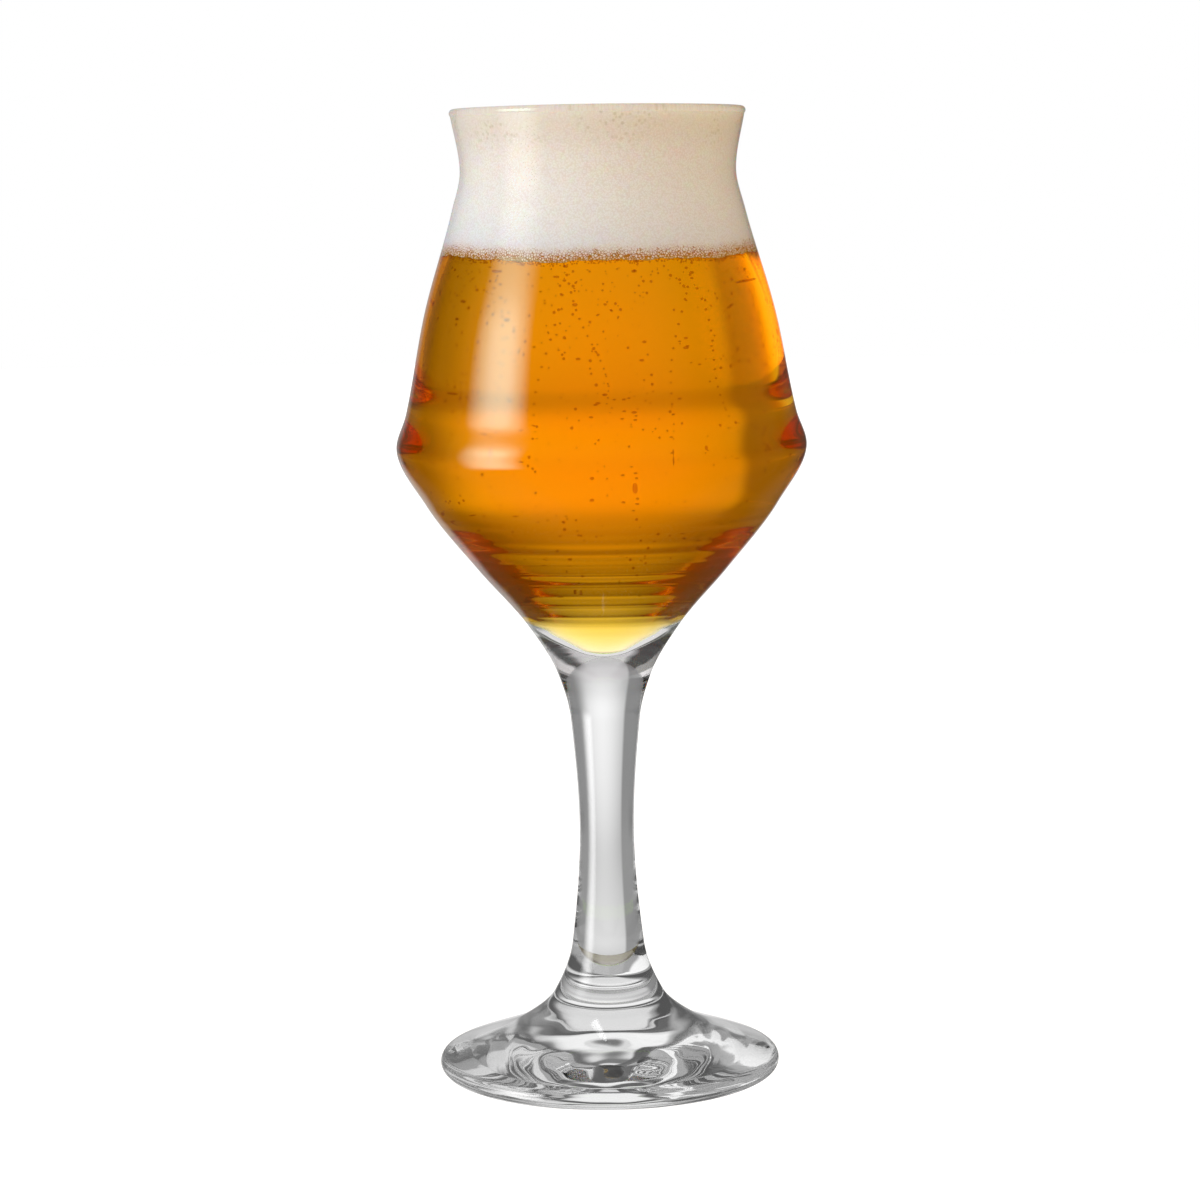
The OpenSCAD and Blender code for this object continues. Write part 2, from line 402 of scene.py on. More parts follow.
# Light that has turned round in the solid base before it meets the beer goes back, so the base stays clear.
base_back = 0.97
amber_ray = put(amber_tree, "ShaderNodeLightPath").outputs
base_turned = calculate(amber_tree, "GREATER_THAN", amber_ray["Glossy Depth"], once)
base_only = calculate(amber_tree, "LESS_THAN", amber_ray["Transmission Depth"], twice)
base_share = times(amber_tree, base_turned, base_only, base_back)
lay_over(amber, base_share, put(amber_tree, "ShaderNodeBsdfGlossy", {"Roughness": 0.0}))
amber_depth = put(amber_tree, "ShaderNodeVolumeAbsorption", {"Color": beer_tint, "Density": beer_strength})
amber_tree.links.new(amber_depth.outputs[0], amber_out.inputs["Volume"])
fill_line = inside_line(fill_gap, steps=40)
# The blowing mould left faint rings round the inside of the cone, and the beer takes their shape.
ring_low, ring_high, ring_fade = 0.097, 0.124, 0.005
ring_depth = 0.00015
ring_waves = [(0.0023, 0.4), (0.0037, 1.9)]
ring_z = fill_line[:, 1]
ring_share = np.clip(np.minimum(ring_z - ring_low, ring_high - ring_z) / ring_fade, 0, 1)
ring_swing = sum(np.sin(2 * math.pi * ring_z / length + phase) for length, phase in ring_waves)
fill_line[:, 0] -= ring_depth * ring_share * (1 + ring_swing / len(ring_waves))
beer_line = np.vstack([between(fill_line, fill_line[0, 1], beer_top), [[0, beer_top]]])
# Beer and foam meet along the wall in a ragged line.
line_sides = 256
line_waves = [(2, 0.0004, 1.57), (5, 0.0002, 2.2), (11, 0.00014, 0.4), (23, 0.0001, 3.1), (47, 0.0001, 1.0)]
line_reach = 0.008


def line_rise(turn):
    """Height of the ragged line over its mean at each angle: a sum of waves round the wall."""
    return sum(high * np.sin(count * turn + phase) for count, high, phase in line_waves)


def ragged(points):
    """Slide points on the wall up or down with the ragged line, less the farther they are from it."""
    turn = np.arctan2(points[:, 1], points[:, 0])
    reach = np.hypot(points[:, 0], points[:, 1])
    share = np.clip(1 - np.abs(points[:, 2] - beer_top) / line_reach, 0, 1) ** 2 * (reach > fill_gap)
    height = points[:, 2] + share * line_rise(turn)
    wall_then, wall_now = np.interp([points[:, 2], height], fill_line[:, 1], fill_line[:, 0])
    widen = np.where(share > 0, wall_now / wall_then, 1)
    return np.stack([points[:, 0] * widen, points[:, 1] * widen, height], axis=1)


beer_points, beer_faces = turned(beer_line, line_sides)
beer = make_piece("beer_fill", ragged(beer_points), beer_faces, [amber])
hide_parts("beer")

# The bubbles
# Gas that comes out of the beer and clings to the wall in small bubbles, many of them in clusters.
# Some of it rises in strings from near the bottom of the bowl.
# Colours of the shade painted into each bubble, from pale to deep.
bubble_shade_pale, bubble_shade_deep = (0.93, 0.83, 0.6, 1), (0.78, 0.62, 0.35, 1)
bubble_count, cluster_count = 1200, 140
bubble_low, bubble_high = 0.112, beer_top - 0.0016
bubble_small, bubble_large = 0.00014, 0.00036
bubble_few_low, bubble_few_large = 1.2, 2.2
cluster_share, cluster_tight, cluster_loose = 0.6, 0.0022, 0.02
bubble_clear, bubble_on_wall, bubble_afloat = 0.0001, 0.85, 0.015


def small_sphere(sides=8, rings=6):
    """Points and faces of a unit ball of a few dozen faces: rings of points at even angles from its poles."""
    lean = np.linspace(0, math.pi, rings + 1)[1:-1]
    around = np.arange(sides) * (2 * math.pi / sides)
    ring = np.stack(np.broadcast_arrays(
        np.sin(lean)[:, None] * np.cos(around), np.sin(lean)[:, None] * np.sin(around),
        -np.cos(lean)[:, None]), axis=2).reshape(-1, 3)
    at = 1 + np.arange(len(ring)).reshape(-1, sides)
    after = np.roll(at, -1, axis=1)
    last = len(ring) + 1
    quads = np.stack([at[:-1], after[:-1], after[1:], at[1:]], axis=2).reshape(-1, 4)
    low = np.stack([np.zeros(sides, int), after[0], at[0]], axis=1)
    high = np.stack([at[-1], after[-1], np.full(sides, last)], axis=1)
    return np.vstack([[[0, 0, -1]], ring, [[0, 0, 1]]]), quads, np.vstack([low, high])


def swarm(centres, radii):
    """The same ball at each centre, scaled to its radius."""
    ball, quads, caps = small_sphere()
    points = (centres[:, None, :] + radii[:, None, None] * ball).reshape(-1, 3)
    shift = (np.arange(len(centres)) * len(ball))[:, None, None]
    return points, (caps + shift).reshape(-1, 3).tolist() + (quads + shift).reshape(-1, 4).tolist()


bubble_seed = 11
chance = np.random.default_rng(bubble_seed)
cluster_z = beer_top - (beer_top - bubble_low) * chance.random(cluster_count) ** bubble_few_low
cluster_turn = chance.random(cluster_count) * 2 * math.pi
member = chance.integers(cluster_count, size=bubble_count)
spread = np.where(chance.random(bubble_count) < cluster_share, cluster_tight, cluster_loose)
lone_z = bubble_high - np.abs(
    bubble_high - cluster_z[member] - spread * chance.standard_normal(bubble_count))
lone_z = np.maximum(lone_z, bubble_low)
lone_wall = np.interp(lone_z, fill_line[:, 1], fill_line[:, 0])
lone_turn = cluster_turn[member] + spread / lone_wall * chance.standard_normal(bubble_count)
lone_size = bubble_small + (bubble_large - bubble_small) * chance.random(bubble_count) ** bubble_few_large
lone_clings = chance.random(bubble_count) < bubble_on_wall
lone_off = np.where(lone_clings, 0, bubble_afloat * chance.random(bubble_count))
lone_r = lone_wall - lone_size - bubble_clear - lone_off
lone = np.stack([lone_r * np.cos(lone_turn), lone_r * np.sin(lone_turn), lone_z], axis=1)
# Each string has a foot, a lean on its way up and a slight sway.
string_bubbles = 18
string_share = np.linspace(0, 1, string_bubbles)
string_foot = np.array([[0.001, -0.022, 0.146], [0.012, -0.017, 0.135], [-0.010, 0.014, 0.128],
                        [0.020, 0.004, 0.140], [-0.018, -0.006, 0.132]])
string_lean = np.array([[-0.008, 0.002], [0.004, 0.003], [0.005, -0.004], [-0.006, -0.008], [0.003, 0.006]])
string_top, string_quicken, string_bend = beer_top - 0.0025, 1.1, 1.6
sway_wide, sway_waves = 0.0008, 7
string_small, string_growth = 0.00016, 0.00014
string_count = len(string_foot)
string_z = string_foot[:, 2:] + (string_top - string_foot[:, 2:]) * string_share ** string_quicken
string_sway = sway_wide * np.sin(sway_waves * string_share + np.arange(string_count)[:, None])
string_x = string_foot[:, :1] + string_lean[:, :1] * string_share ** string_bend + string_sway
string_y = string_foot[:, 1:2] + string_lean[:, 1:] * string_share
strings = np.stack([string_x, string_y, string_z], axis=2).reshape(-1, 3)
string_size = string_small + string_growth * np.tile(string_share, string_count)


def colour_mix(tree, share, first, second):
    """First colour where the share is 0, second where it is 1."""
    mix = put(tree, "ShaderNodeMix", {"Factor": share, "A": first, "B": second}, data_type="RGBA")
    return mix.outputs["Result"]


# Painted shade: a bubble does not bend light here, it only tints and darkens what lies behind it, unevenly,
# for the dark edge that its refraction shows.
bubble_grain = 900.0
gas, gas_tree = new_material("gas_bubble")
gas_place = put(gas_tree, "ShaderNodeTexCoord").outputs["Object"]
gas_noise = put(gas_tree, "ShaderNodeTexNoise", {"Vector": gas_place, "Scale": bubble_grain}).outputs["Fac"]
gas_shade = put(gas_tree, "ShaderNodeBsdfTransparent", {
    "Color": colour_mix(gas_tree, gas_noise, bubble_shade_pale, bubble_shade_deep)})
put(gas_tree, "ShaderNodeOutputMaterial", {"Surface": gas_shade.outputs[0]})
round_all_over = 180
bubbles = make_piece("beer_bubbles", *swarm(
    np.vstack([lone, strings]), np.r_[lone_size, string_size]), [gas], crisp=round_all_over)
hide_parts("beer")

# The head of foam
# Cream foam of fine bubbles that stands on the beer and fills the neck up to the rim.
# Its underside is coarse and wet, and beer stands between its lowest cells; it is also painted much darker as
# shade, since little light gets down through the foam to it.
foam_gap = 0.00005
foam_crown = 0.0006
rim_touch = arc((rim_middle_r, bead_z), bead_r + foam_gap, start=180 + bead_dip, end=105, steps=14)
foam_side = between(fill_line, beer_top + foam_gap, rim_touch[0, 1] - foam_gap)
crown_steps = 24
crown_share = np.linspace(1, 0, crown_steps)
crown = np.stack([
    rim_touch[-1, 0] * crown_share, rim_touch[-1, 1] + foam_crown * (1 - crown_share ** 2)], axis=1)
foam_line = np.vstack([[[0, beer_top + foam_gap]], foam_side, rim_touch, crown[1:]])


def rise(tree, value, start, end):
    """0 below the start, 1 above the end, with a smooth step between."""
    return put(tree, "ShaderNodeMapRange", {
        "Value": value, "From Min": start, "From Max": end}, interpolation_type="SMOOTHSTEP").outputs[0]


fine_scale, fine_edges, fine_strength, fine_depth = 2600.0, (0.2, 0.8), 0.3, 0.0001
drift_scale, drift_detail, drift_edges = 70.0, 2.0, (0.45, 0.6)
joined_scale, joined_edges, joined_tint = 900.0, (0.45, 0.15), (0.68, 0.65, 0.54, 1)
joined_rise = (rim_top - 0.012, rim_top - 0.002)
aside_rise, aside_wall = (rim_top - 0.02, rim_top - 0.012), (-0.0265, -0.0285)
# Where the painted shade under the rim starts and ends, how much of it there is, and its colour.
rim_shade_rise, rim_shade_most, rim_shade_tint = (rim_top - 0.012, rim_top - 0.001), 0.45, (0.6, 0.57, 0.5, 1)
soak_reach = (0.0045, -0.0005)
seam_scale, seam_reach, seam_wide = 1900.0, (0.0032, -0.0004), 0.18
foam_rough, foam_scatter, foam_scatter_scale = 0.9, (1.0, 0.5, 0.25), 0.03


def froth(name, pale, shade, seam_tint, soak_tint, soak_most):
    """Foam of fine cells: pale with slightly darker cells, and amber between them towards the beer."""
    material, tree = new_material(name)
    place = put(tree, "ShaderNodeTexCoord").outputs["Object"]
    above = put(tree, "ShaderNodeAttribute", attribute_name="above_beer").outputs["Fac"]
    fine = put(tree, "ShaderNodeTexVoronoi", {"Vector": place, "Scale": fine_scale}).outputs["Distance"]
    tone = colour_mix(tree, rise(tree, fine, *fine_edges), pale, shade)
    # Larger bubbles have joined up under the rim, and along the wall on one side.
    axes = put(tree, "ShaderNodeSeparateXYZ", {0: place}).outputs
    drift = put(tree, "ShaderNodeTexNoise", {
        "Vector": place, "Scale": drift_scale, "Detail": drift_detail}).outputs["Fac"]
    joined = put(tree, "ShaderNodeTexVoronoi", {"Vector": place, "Scale": joined_scale}).outputs["Distance"]
    high = times(tree, rise(tree, axes["Z"], *joined_rise), rise(tree, drift, *drift_edges))
    aside = times(tree, rise(tree, axes["Z"], *aside_rise), rise(tree, axes["X"], *aside_wall))
    spot = times(tree, calculate(tree, "MAXIMUM", high, aside), rise(tree, joined, *joined_edges))
    tone = colour_mix(tree, spot, tone, joined_tint)
    # Painted shade: the foam darkens to a greyer tone towards the rim, where less light reaches it.
    painted_rim_shade = times(tree, rise(tree, axes["Z"], *rim_shade_rise), rim_shade_most)
    tone = colour_mix(tree, painted_rim_shade, tone, rim_shade_tint)
    # Beer stands in the walls between the lowest cells, and soaks a little way up the foam.
    soak = times(tree, rise(tree, above, *soak_reach), soak_most)
    tone = colour_mix(tree, soak, tone, soak_tint)
    cell = put(tree, "ShaderNodeTexVoronoi", {
        "Vector": place, "Scale": seam_scale}, feature="DISTANCE_TO_EDGE").outputs["Distance"]
    wide = times(tree, rise(tree, above, *seam_reach), seam_wide)
    tone = colour_mix(tree, calculate(tree, "GREATER_THAN", wide, cell), tone, seam_tint)
    bump = put(tree, "ShaderNodeBump", {"Height": fine, "Strength": fine_strength, "Distance": fine_depth})
    body = put(tree, "ShaderNodeBsdfPrincipled", {
        "Base Color": tone, "Roughness": foam_rough, "Specular IOR Level": 0.0,
        "Subsurface Weight": 1.0, "Subsurface Radius": foam_scatter, "Subsurface Scale": foam_scatter_scale,
        "Normal": bump.outputs["Normal"]})
    put(tree, "ShaderNodeOutputMaterial", {"Surface": body.outputs[0]})
    return material


cream = froth("cream_foam", pale=(0.95, 0.925, 0.89, 1), shade=(0.87, 0.82, 0.76, 1),
              seam_tint=(0.42, 0.19, 0.03, 1), soak_tint=(0.86, 0.56, 0.22, 1), soak_most=0.36)
# The underside: the same foam, wet, with the shade it lies in painted into its colour.
wet_and_shaded_cream = froth("wet_and_shaded_froth", pale=(0.38, 0.34, 0.27, 1), shade=(0.3, 0.25, 0.17, 1),
                  seam_tint=(0.3, 0.14, 0.02, 1), soak_tint=(0.3, 0.14, 0.02, 1), soak_most=0.1)
foam_slots = np.zeros(len(foam_line) - 1, int)
wet_and_shaded_slot = 1
foam_slots[0] = wet_and_shaded_slot
foam_points, foam_faces = turned(foam_line, line_sides)
foam_points = ragged(foam_points)
foam = make_piece("foam_cap", foam_points, foam_faces, [cream, wet_and_shaded_cream],
                  face_slots(foam_slots, line_sides))
foam_turn = np.arctan2(foam_points[:, 1], foam_points[:, 0])
foam_above = foam_points[:, 2] - beer_top - line_rise(foam_turn)
above_beer = foam.data.attributes.new("above_beer", "FLOAT", "POINT")
above_beer.data.foreach_set("value", foam_above.astype(np.float32))
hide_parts("foam_head")

# The foam's lowest cells
# Single bubbles, larger than those of the foam, that hang out of it into the beer.
# They cling to the wall in two broken rows along the line where beer and foam meet.
cell_rows, cell_spread, cell_step = 2, 420, 0.00036
cell_small, cell_large = 0.00014, 0.00026
cell_kept_top, cell_kept_less = 0.85, 0.4
cell_shift, cell_stray, cell_drop, cell_sag = 0.5, 0.3, 0.4, 0.5
cell_row = np.repeat(np.arange(cell_rows), cell_spread)
cell_total = cell_rows * cell_spread
cell_turn = (np.tile(np.arange(cell_spread), cell_rows) + cell_shift * cell_row
             + cell_stray * chance.random(cell_total)) * (2 * math.pi / cell_spread)
cell_size = cell_small + (cell_large - cell_small) * chance.random(cell_total)
cell_z = (beer_top + line_rise(cell_turn) - cell_step * (cell_row + cell_drop)
          - cell_sag * cell_step * chance.random(cell_total))
cell_kept = chance.random(cell_total) < cell_kept_top - cell_kept_less * cell_row
cell_r = np.interp(cell_z, fill_line[:, 1], fill_line[:, 0]) - cell_size - foam_gap
cells = np.stack([cell_r * np.cos(cell_turn), cell_r * np.sin(cell_turn), cell_z], axis=1)
# These cells carry the same painted bubble shade.
honeycomb = make_piece("foam_cells", *swarm(cells[cell_kept], cell_size[cell_kept]), [gas],
                       crisp=round_all_over)
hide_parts("foam_head")

# The studio
# A white floor that runs out of sight, a softly lit white panel behind the glass between dark sides,
# and one large softbox on the left towards the camera.


def blend(tree, share, first, second):
    """First value where the share is 0, second where it is 1."""
    return put(tree, "ShaderNodeMix", {"Factor": share, "A": first, "B": second}).outputs["Result"]


def band(tree, angle, start, end, soft):
    """1 where an angle lies between two others, 0 outside, with soft edges, all in degrees."""
    opening = rise(tree, angle, start - soft / 2, start + soft / 2)
    closing = rise(tree, angle, end - soft / 2, end + soft / 2)
    return calculate(tree, "SUBTRACT", opening, closing)


def rest_of(tree, share):
    """What a share leaves of 1."""
    return calculate(tree, "SUBTRACT", 1.0, share)


# Azimuth 0 is straight behind the glass, and right is positive.
panel_start, panel_end = (-26.0, -21.0), (17.0, 40.0)
panel_dim, panel_glow = 0.33, 0.83
panel_spread = (30.0, 22.0)
panel_middle = (4.0, 3.0)
panel_low, panel_low_rise = 0.36, (-12.0, -26.0)
panel_high, panel_high_rise = 0.2, (10.0, 35.0)
panel_foot = (-75.0, -65.0)
stem_dim = 0.88
side_seen, side_mirrored, side_mirror_fall = 0.27, 0.05, (54.0, 32.0)
mirror_start, mirror_end, mirror_soft = -24.0, 12.0, 10.0
mirror_high, mirror_fall = 0.4, (-10.0, -4.0)
base_lift, base_lift_rise = 0.4, (14.0, 34.0)
floor_seen, floor_under, floor_fall = 0.3, 0.1, (-40.0, -55.0)
round_seen, round_high, round_high_rise, round_soft = 0.42, 0.12, (32.0, 44.0), 6.0
round_bands = [(-182, -140, 0.5), (-125, -80, 1.1), (-54, -28, 0.1), (30, 48, 0.12), (52, 80, 0.8),
               (95, 122, 0.12), (138, 182, 0.55)]
strip_seen, strip_soft = 0.8, 4.0
strip_bands = [(-4, 16, 0.12), (21, 46, 1.0), (52, 62, 0.2)]
side_dark, side_dark_turn, side_dark_lift = 0.85, (36.0, 54.0), (-6.0, -14.0)
# Other views look through the glass at white cards of their own, which mirror nothing.
card_bands = [(68, 105, 8, 0.85), (168, 190, 12, 0.6), (-190, -168, 12, 0.6), (-105, -68, 8, 0.85)]
card_foot = (-22.0, -12.0)
world = bpy.data.worlds.new("studio")
bpy.context.scene.world = world
world.use_nodes = True
sky = world.node_tree
sky.nodes.clear()
sky_ray = put(sky, "ShaderNodeLightPath").outputs
sky_way = put(sky, "ShaderNodeSeparateXYZ", {
    0: put(sky, "ShaderNodeTexCoord").outputs["Generated"]}).outputs
sky_turn = calculate(sky, "DEGREES", calculate(sky, "ARCTAN2", sky_way["X"], sky_way["Y"]))
sky_lift = calculate(sky, "DEGREES", calculate(sky, "ARCSINE", sky_way["Z"]))
off_turn = calculate(sky, "DIVIDE", calculate(sky, "SUBTRACT", sky_turn, panel_middle[0]), panel_spread[0])
off_lift = calculate(sky, "DIVIDE", calculate(sky, "SUBTRACT", sky_lift, panel_middle[1]), panel_spread[1])
off_both = calculate(sky, "ADD", times(sky, off_turn, off_turn), times(sky, off_lift, off_lift))
glow = calculate(sky, "EXPONENT", times(sky, off_both, -1.0))
panel = calculate(sky, "ADD", times(sky, glow, panel_glow), panel_dim)
panel = calculate(sky, "SUBTRACT", panel, times(sky, rise(sky, sky_lift, *panel_high_rise), panel_high))
# What has crossed the drink has gone through more than two surfaces.
crossed = calculate(sky, "GREATER_THAN", sky_ray["Transmission Depth"], three_times)
not_crossed = rest_of(sky, crossed)
unturned = calculate(sky, "LESS_THAN", sky_ray["Glossy Depth"], once)
panel = times(sky, panel, blend(sky, crossed, stem_dim, 1.0))
low_rise = times(sky, rise(sky, sky_lift, *panel_low_rise), panel_low)
base_rise = times(sky, rise(sky, sky_lift, *base_lift_rise), base_lift)
panel = calculate(sky, "ADD", panel, times(sky, calculate(sky, "ADD", low_rise, base_rise), not_crossed))
sky_aside = calculate(sky, "ABSOLUTE", sky_turn)
below = rise(sky, sky_lift, *side_dark_lift)
side_fall = times(sky, rise(sky, sky_aside, *side_dark_turn), below, unturned, side_dark)
seen = times(sky, rest_of(sky, side_fall), side_seen)
# Through the foot the white floor shows instead.
floor_light = blend(sky, rise(sky, sky_lift, *floor_fall), floor_seen, floor_under)
seen = blend(sky, times(sky, below, not_crossed), seen, floor_light)
# What turns round inside the foot and the stem meets the whole studio:
# its lamps, its cards and the dark between.
round_light = round_seen
for round_start, round_end, round_bright in round_bands:
    lit = band(sky, sky_turn, round_start, round_end, round_soft)
    round_light = blend(sky, lit, round_light, round_bright)
round_light = blend(sky, rise(sky, sky_lift, *round_high_rise), round_light, round_high)
round_share = times(sky, not_crossed, rest_of(sky, unturned))
seen = blend(sky, round_share, seen, round_light)
card_seen = times(sky, rise(sky, sky_lift, *card_foot), unturned)
for card_start, card_end, card_soft, card_bright in card_bands:
    lit = times(sky, band(sky, sky_turn, card_start, card_end, card_soft), card_seen)
    seen = blend(sky, lit, seen, card_bright)
# What the underside of the foot mirrors upward meets the ceiling, with a dark gap on either side of its lamp.
strip_light = strip_seen
for strip_start, strip_end, strip_bright in strip_bands:
    lit = band(sky, sky_lift, strip_start, strip_end, strip_soft)
    strip_light = blend(sky, lit, strip_light, strip_bright)
panel_share = calculate(sky, "SUBTRACT", rise(sky, sky_turn, *panel_start), rise(sky, sky_turn, *panel_end))
panel_share = times(sky, panel_share, rise(sky, sky_lift, *panel_foot))
seen = blend(sky, panel_share, seen, blend(sky, round_share, panel, strip_light))
# Light from the softbox also turns round inside the drink and leaves at its right-hand edge.
inner_wide, inner_high, inner_soft, inner_bright = (-146.0, -122.0), (-34.0, -3.0), 8.0, 3.0
inner_cloth = times(sky, band(sky, sky_turn, *inner_wide, inner_soft),
                    band(sky, sky_lift, *inner_high, inner_soft), crossed, inner_bright)
seen = calculate(sky, "ADD", seen, inner_cloth)
# The outside mirrors the panel where it stands low, and less of it above.
mirror_share = times(sky, band(sky, sky_turn, mirror_start, mirror_end, mirror_soft),
                     blend(sky, rise(sky, sky_lift, *mirror_fall), 1.0, mirror_high))
mirror_side = times(sky, rise(sky, sky_aside, *side_mirror_fall), side_mirrored)
in_mirror = blend(sky, mirror_share, mirror_side, panel)
seen = blend(sky, sky_ray["Is Transmission Ray"], in_mirror, seen)
# The softbox's cloth is even, and fades to its sides and its top.
softbox_turn, softbox_lift = -117.0, 5.0
softbox_half, softbox_half_back, softbox_fade = 19.0, 26.0, 1.3
softbox_foot, softbox_body, softbox_head = (-30.0, -20.0), (2.0, 15.0), (15.0, 40.0)
softbox_below = 0.76
softbox_tint, softbox_bright = (1.0, 1.0, 1.0, 1), 9.4
cloth_off = calculate(sky, "SUBTRACT", sky_turn, softbox_turn)
cloth_wide = calculate(sky, "MAXIMUM", calculate(sky, "DIVIDE", cloth_off, softbox_half_back),
                       calculate(sky, "DIVIDE", cloth_off, -softbox_half))
cloth_wide = calculate(sky, "MINIMUM", cloth_wide, 1.0)
wide_fade = calculate(sky, "COSINE", times(sky, cloth_wide, math.pi / 2))
wide_fade = calculate(sky, "POWER", wide_fade, softbox_fade)
high_fade = blend(sky, rise(sky, sky_lift, *softbox_body), softbox_below, 1.0)
high_fade = times(sky, high_fade, rise(sky, sky_lift, *softbox_foot))
high_fade = calculate(sky, "SUBTRACT", high_fade, rise(sky, sky_lift, *softbox_head))
by_mirror = calculate(sky, "SUBTRACT", sky_ray["Is Glossy Ray"], sky_ray["Is Transmission Ray"])
by_mirror = calculate(sky, "MAXIMUM", by_mirror, 0.0)
mirrored = times(sky, wide_fade, high_fade, by_mirror, softbox_bright)
cloth_shade = put(sky, "ShaderNodeBackground", {"Color": softbox_tint, "Strength": mirrored})
# The fill comes white from the left and warm from a card on the right.
fill_light, warm_fill, fill_reach = (0.92, 0.93, 0.98, 1), (0.76, 0.61, 0.41, 1), (-0.5, 0.7)
fill = colour_mix(sky, rise(sky, sky_way["X"], *fill_reach), fill_light, warm_fill)
white = blend(sky, sky_ray["Is Camera Ray"], seen, 1.0)
in_glass = calculate(sky, "MAXIMUM", sky_ray["Is Glossy Ray"], sky_ray["Is Transmission Ray"])
by_ray = calculate(sky, "MAXIMUM", in_glass, sky_ray["Is Camera Ray"])
grey = put(sky, "ShaderNodeCombineColor", {0: white, 1: white, 2: white}).outputs[0]
sky_colour = colour_mix(sky, by_ray, fill, grey)
sky_shade = put(sky, "ShaderNodeBackground", {"Color": sky_colour, "Strength": 1.0})
# Beer is never quite clear: what crosses it gathers a faint amber haze, more of it on the longer way round.
haze_straight, haze_round = (0.1, 0.045, 0, 1), (0.5, 1.0, 0, 1)
haze_tint = colour_mix(sky, unturned, haze_round, haze_straight)
haze = put(sky, "ShaderNodeBackground", {"Color": haze_tint, "Strength": times(sky, crossed, in_glass)})
sky_both = put(sky, "ShaderNodeAddShader", {0: sky_shade.outputs[0], 1: haze.outputs[0]})
sky_all = put(sky, "ShaderNodeAddShader", {0: sky_both.outputs[0], 1: cloth_shade.outputs[0]})
put(sky, "ShaderNodeOutputWorld", {"Surface": sky_all.outputs[0]})

# The floor
# A matt white sheet that takes the glass's shadow and is bright to the camera.
# What the glass itself shows is the studio's light above, so the floor is hidden from it.
floor_half = 3.0
floor_white = 0.55
floor_lift = 0.8
floor_mesh = bpy.data.meshes.new("floor")
floor_mesh.from_pydata([(-floor_half, -floor_half, 0), (floor_half, -floor_half, 0),
                        (floor_half, floor_half, 0), (-floor_half, floor_half, 0)], [], [(0, 1, 2, 3)])
floor_paint, floor_tree = new_material("white_floor")
floor_camera = put(floor_tree, "ShaderNodeLightPath").outputs["Is Camera Ray"]
floor_matt = put(floor_tree, "ShaderNodeBsdfDiffuse", {"Color": (floor_white, floor_white, floor_white, 1)})
floor_glow = put(floor_tree, "ShaderNodeEmission", {
    "Strength": times(floor_tree, floor_camera, floor_lift)})
floor_both = put(floor_tree, "ShaderNodeAddShader", {0: floor_matt.outputs[0], 1: floor_glow.outputs[0]})
put(floor_tree, "ShaderNodeOutputMaterial", {"Surface": floor_both.outputs[0]})
floor_mesh.materials.append(floor_paint)
floor = bpy.data.objects.new("floor", floor_mesh)
floor.visible_glossy = False
floor.visible_transmission = False
bpy.context.scene.collection.objects.link(floor)

# The gold card
# A curved card that lies on the floor behind the glass on the left and sends light into the drink.
# It is orange where it starts behind the panel and pale yellow at its far end.
lure_start, lure_end = -80.0, -24.0
lure_near, lure_far = 0.38, 0.9
lure_share_turn, lure_share_near = (-28.0, -44.0), (0.385, 0.43)
lure_orange, lure_yellow, lure_turn_yellow = (0.82, 0.46, 0.12, 1), (1.1, 1.35, 0.3, 1), (-34.0, -50.0)
lure_steps, lure_thick = 12, 0.001
lure_turn = np.radians(np.linspace(lure_start, lure_end, lure_steps))
lure_way = np.stack([np.sin(lure_turn), np.cos(lure_turn), np.zeros(lure_steps)], axis=1)
lure_lift = np.array([0, 0, lure_thick])
lure_points = np.vstack([lure_way * lure_far + lure_lift, lure_way[::-1] * lure_near + lure_lift])
lure_mesh = bpy.data.meshes.new("floor_card")
lure_mesh.from_pydata(lure_points.tolist(), [], [list(range(len(lure_points)))[::-1]])
lure_paint, lure_tree = new_material("gold_card")
lure_place = put(lure_tree, "ShaderNodeTexCoord").outputs["Object"]
lure_axes = put(lure_tree, "ShaderNodeSeparateXYZ", {0: lure_place}).outputs
lure_angle = calculate(lure_tree, "DEGREES", calculate(lure_tree, "ARCTAN2", lure_axes["X"], lure_axes["Y"]))
lure_far_off = put(lure_tree, "ShaderNodeVectorMath", {0: lure_place}, operation="LENGTH").outputs["Value"]
lure_ray = put(lure_tree, "ShaderNodeLightPath").outputs
lure_crossed = calculate(lure_tree, "GREATER_THAN", lure_ray["Transmission Depth"], three_times)
lure_share = times(lure_tree, rise(lure_tree, lure_angle, *lure_share_turn),
                   rise(lure_tree, lure_far_off, *lure_share_near), lure_crossed)
lure_tint = colour_mix(lure_tree, rise(lure_tree, lure_angle, *lure_turn_yellow), lure_orange, lure_yellow)
lure_shine = put(lure_tree, "ShaderNodeEmission", {"Color": lure_tint, "Strength": 1.0})
lure_none = put(lure_tree, "ShaderNodeBsdfTransparent")
lure_both = put(lure_tree, "ShaderNodeMixShader", {
    0: lure_share, 1: lure_none.outputs[0], 2: lure_shine.outputs[0]})
put(lure_tree, "ShaderNodeOutputMaterial", {"Surface": lure_both.outputs[0]})
lure_mesh.materials.append(lure_paint)
lure = bpy.data.objects.new("floor_card", lure_mesh)
lure.visible_camera = False
lure.visible_diffuse = False
lure.visible_glossy = False
lure.visible_shadow = False
bpy.context.scene.collection.objects.link(lure)

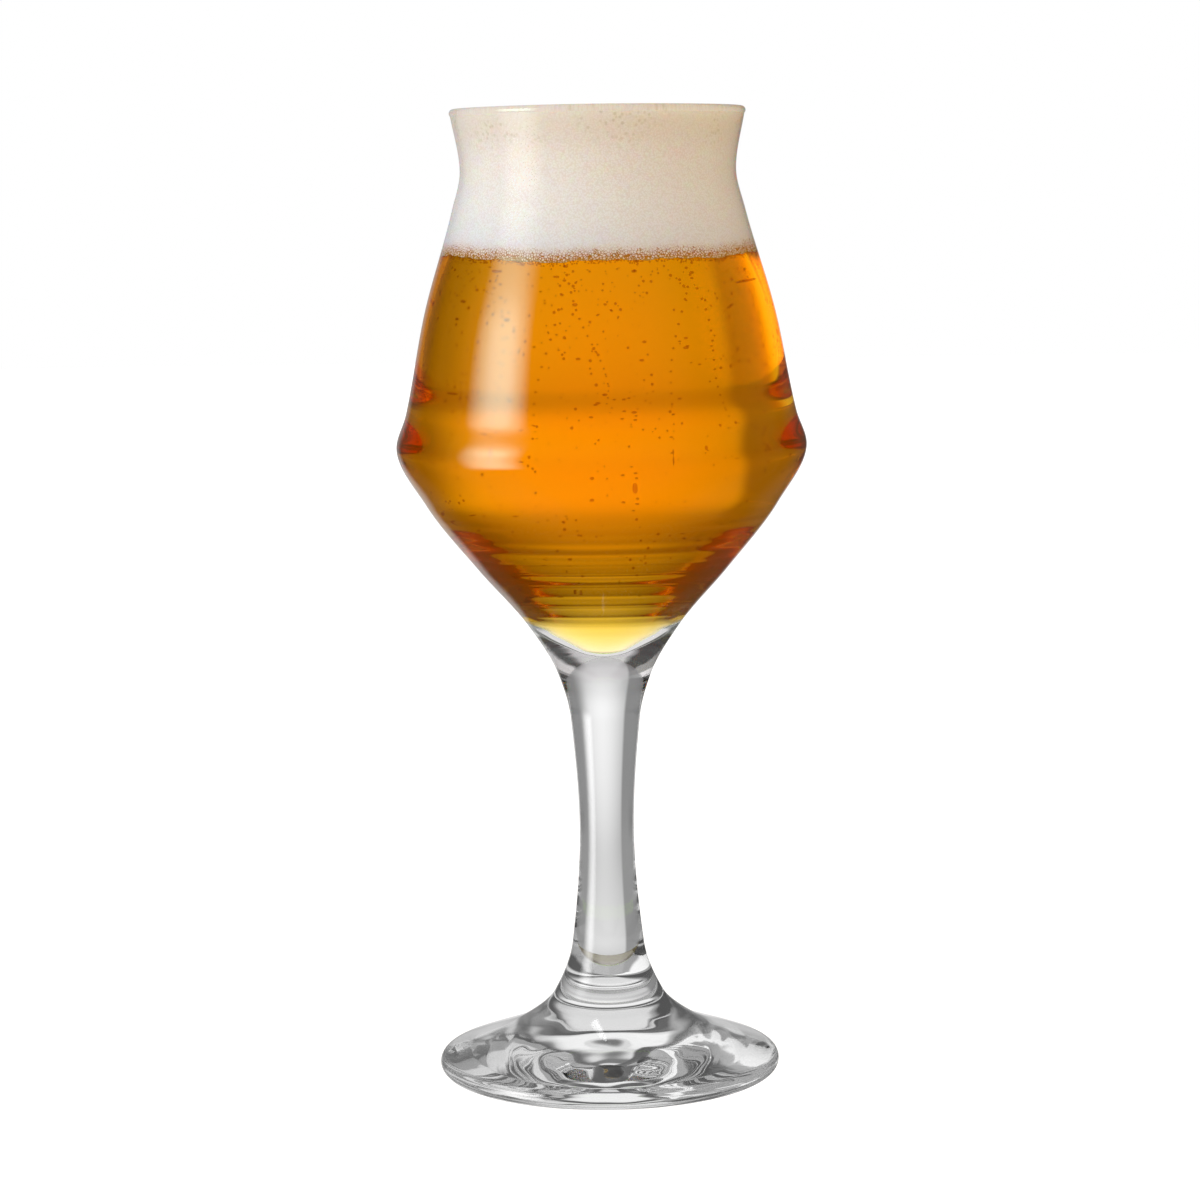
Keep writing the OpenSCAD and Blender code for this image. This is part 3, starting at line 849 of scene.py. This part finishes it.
# The softbox
# A lamp behind white cloth, left of the glass and a little towards the camera, that lights foam and floor.
# The glass mirrors its cloth from the world's side, so the lamp itself is hidden from it.
softbox_far = 1.0
softbox_wide, softbox_high = 0.76, 0.98
softbox_soft = 1.5
lamp = bpy.data.lights.new("softbox", "AREA")
lamp.shape = "RECTANGLE"
lamp.size, lamp.size_y = softbox_wide, softbox_high
lamp.energy = softbox_soft * math.pi * softbox_wide * softbox_high
softbox = bpy.data.objects.new("softbox", lamp)
softbox_way = math.radians(softbox_turn)
softbox_aim_z = 0.15
glass_middle = Vector((0, 0, softbox_aim_z))
softbox_rise = softbox_far * math.tan(math.radians(softbox_lift))
softbox.location = glass_middle + Vector((
    softbox_far * math.sin(softbox_way), softbox_far * math.cos(softbox_way), softbox_rise))
softbox.visible_glossy = False
softbox.visible_transmission = False
aim = glass_middle - softbox.location
softbox.rotation_euler = aim.to_track_quat("-Z", "Y").to_euler()
bpy.context.scene.collection.objects.link(softbox)

# The camera
# A long lens a little below the rim, turned down to the middle of the glass and rolled a touch.
frame_px = 1200
focal_px = 3296
camera_place = (-0.0008, -0.705, 0.1906)
camera_pitch = 7.083
camera_roll = -0.783
sensor_mm = 36.0
level = 90
eye = bpy.data.cameras.new("camera")
eye.sensor_width = sensor_mm
eye.lens = sensor_mm * focal_px / frame_px
camera = bpy.data.objects.new("camera", eye)
tilt_down = Matrix.Rotation(math.radians(level - camera_pitch), 4, "X")
camera.matrix_world = (Matrix.Translation(camera_place) @ tilt_down
                       @ Matrix.Rotation(math.radians(camera_roll), 4, "Z"))
bpy.context.scene.collection.objects.link(camera)
bpy.context.scene.camera = camera
bpy.context.scene.cycles.caustics_refractive = False
bpy.context.scene.cycles.caustics_reflective = False
bounces = 40
bpy.context.scene.cycles.max_bounces = bounces
bpy.context.scene.cycles.glossy_bounces = bounces
bpy.context.scene.cycles.transmission_bounces = bounces
bpy.context.scene.cycles.transparent_max_bounces = 2 * bounces
bpy.context.scene.view_settings.view_transform = "Standard"
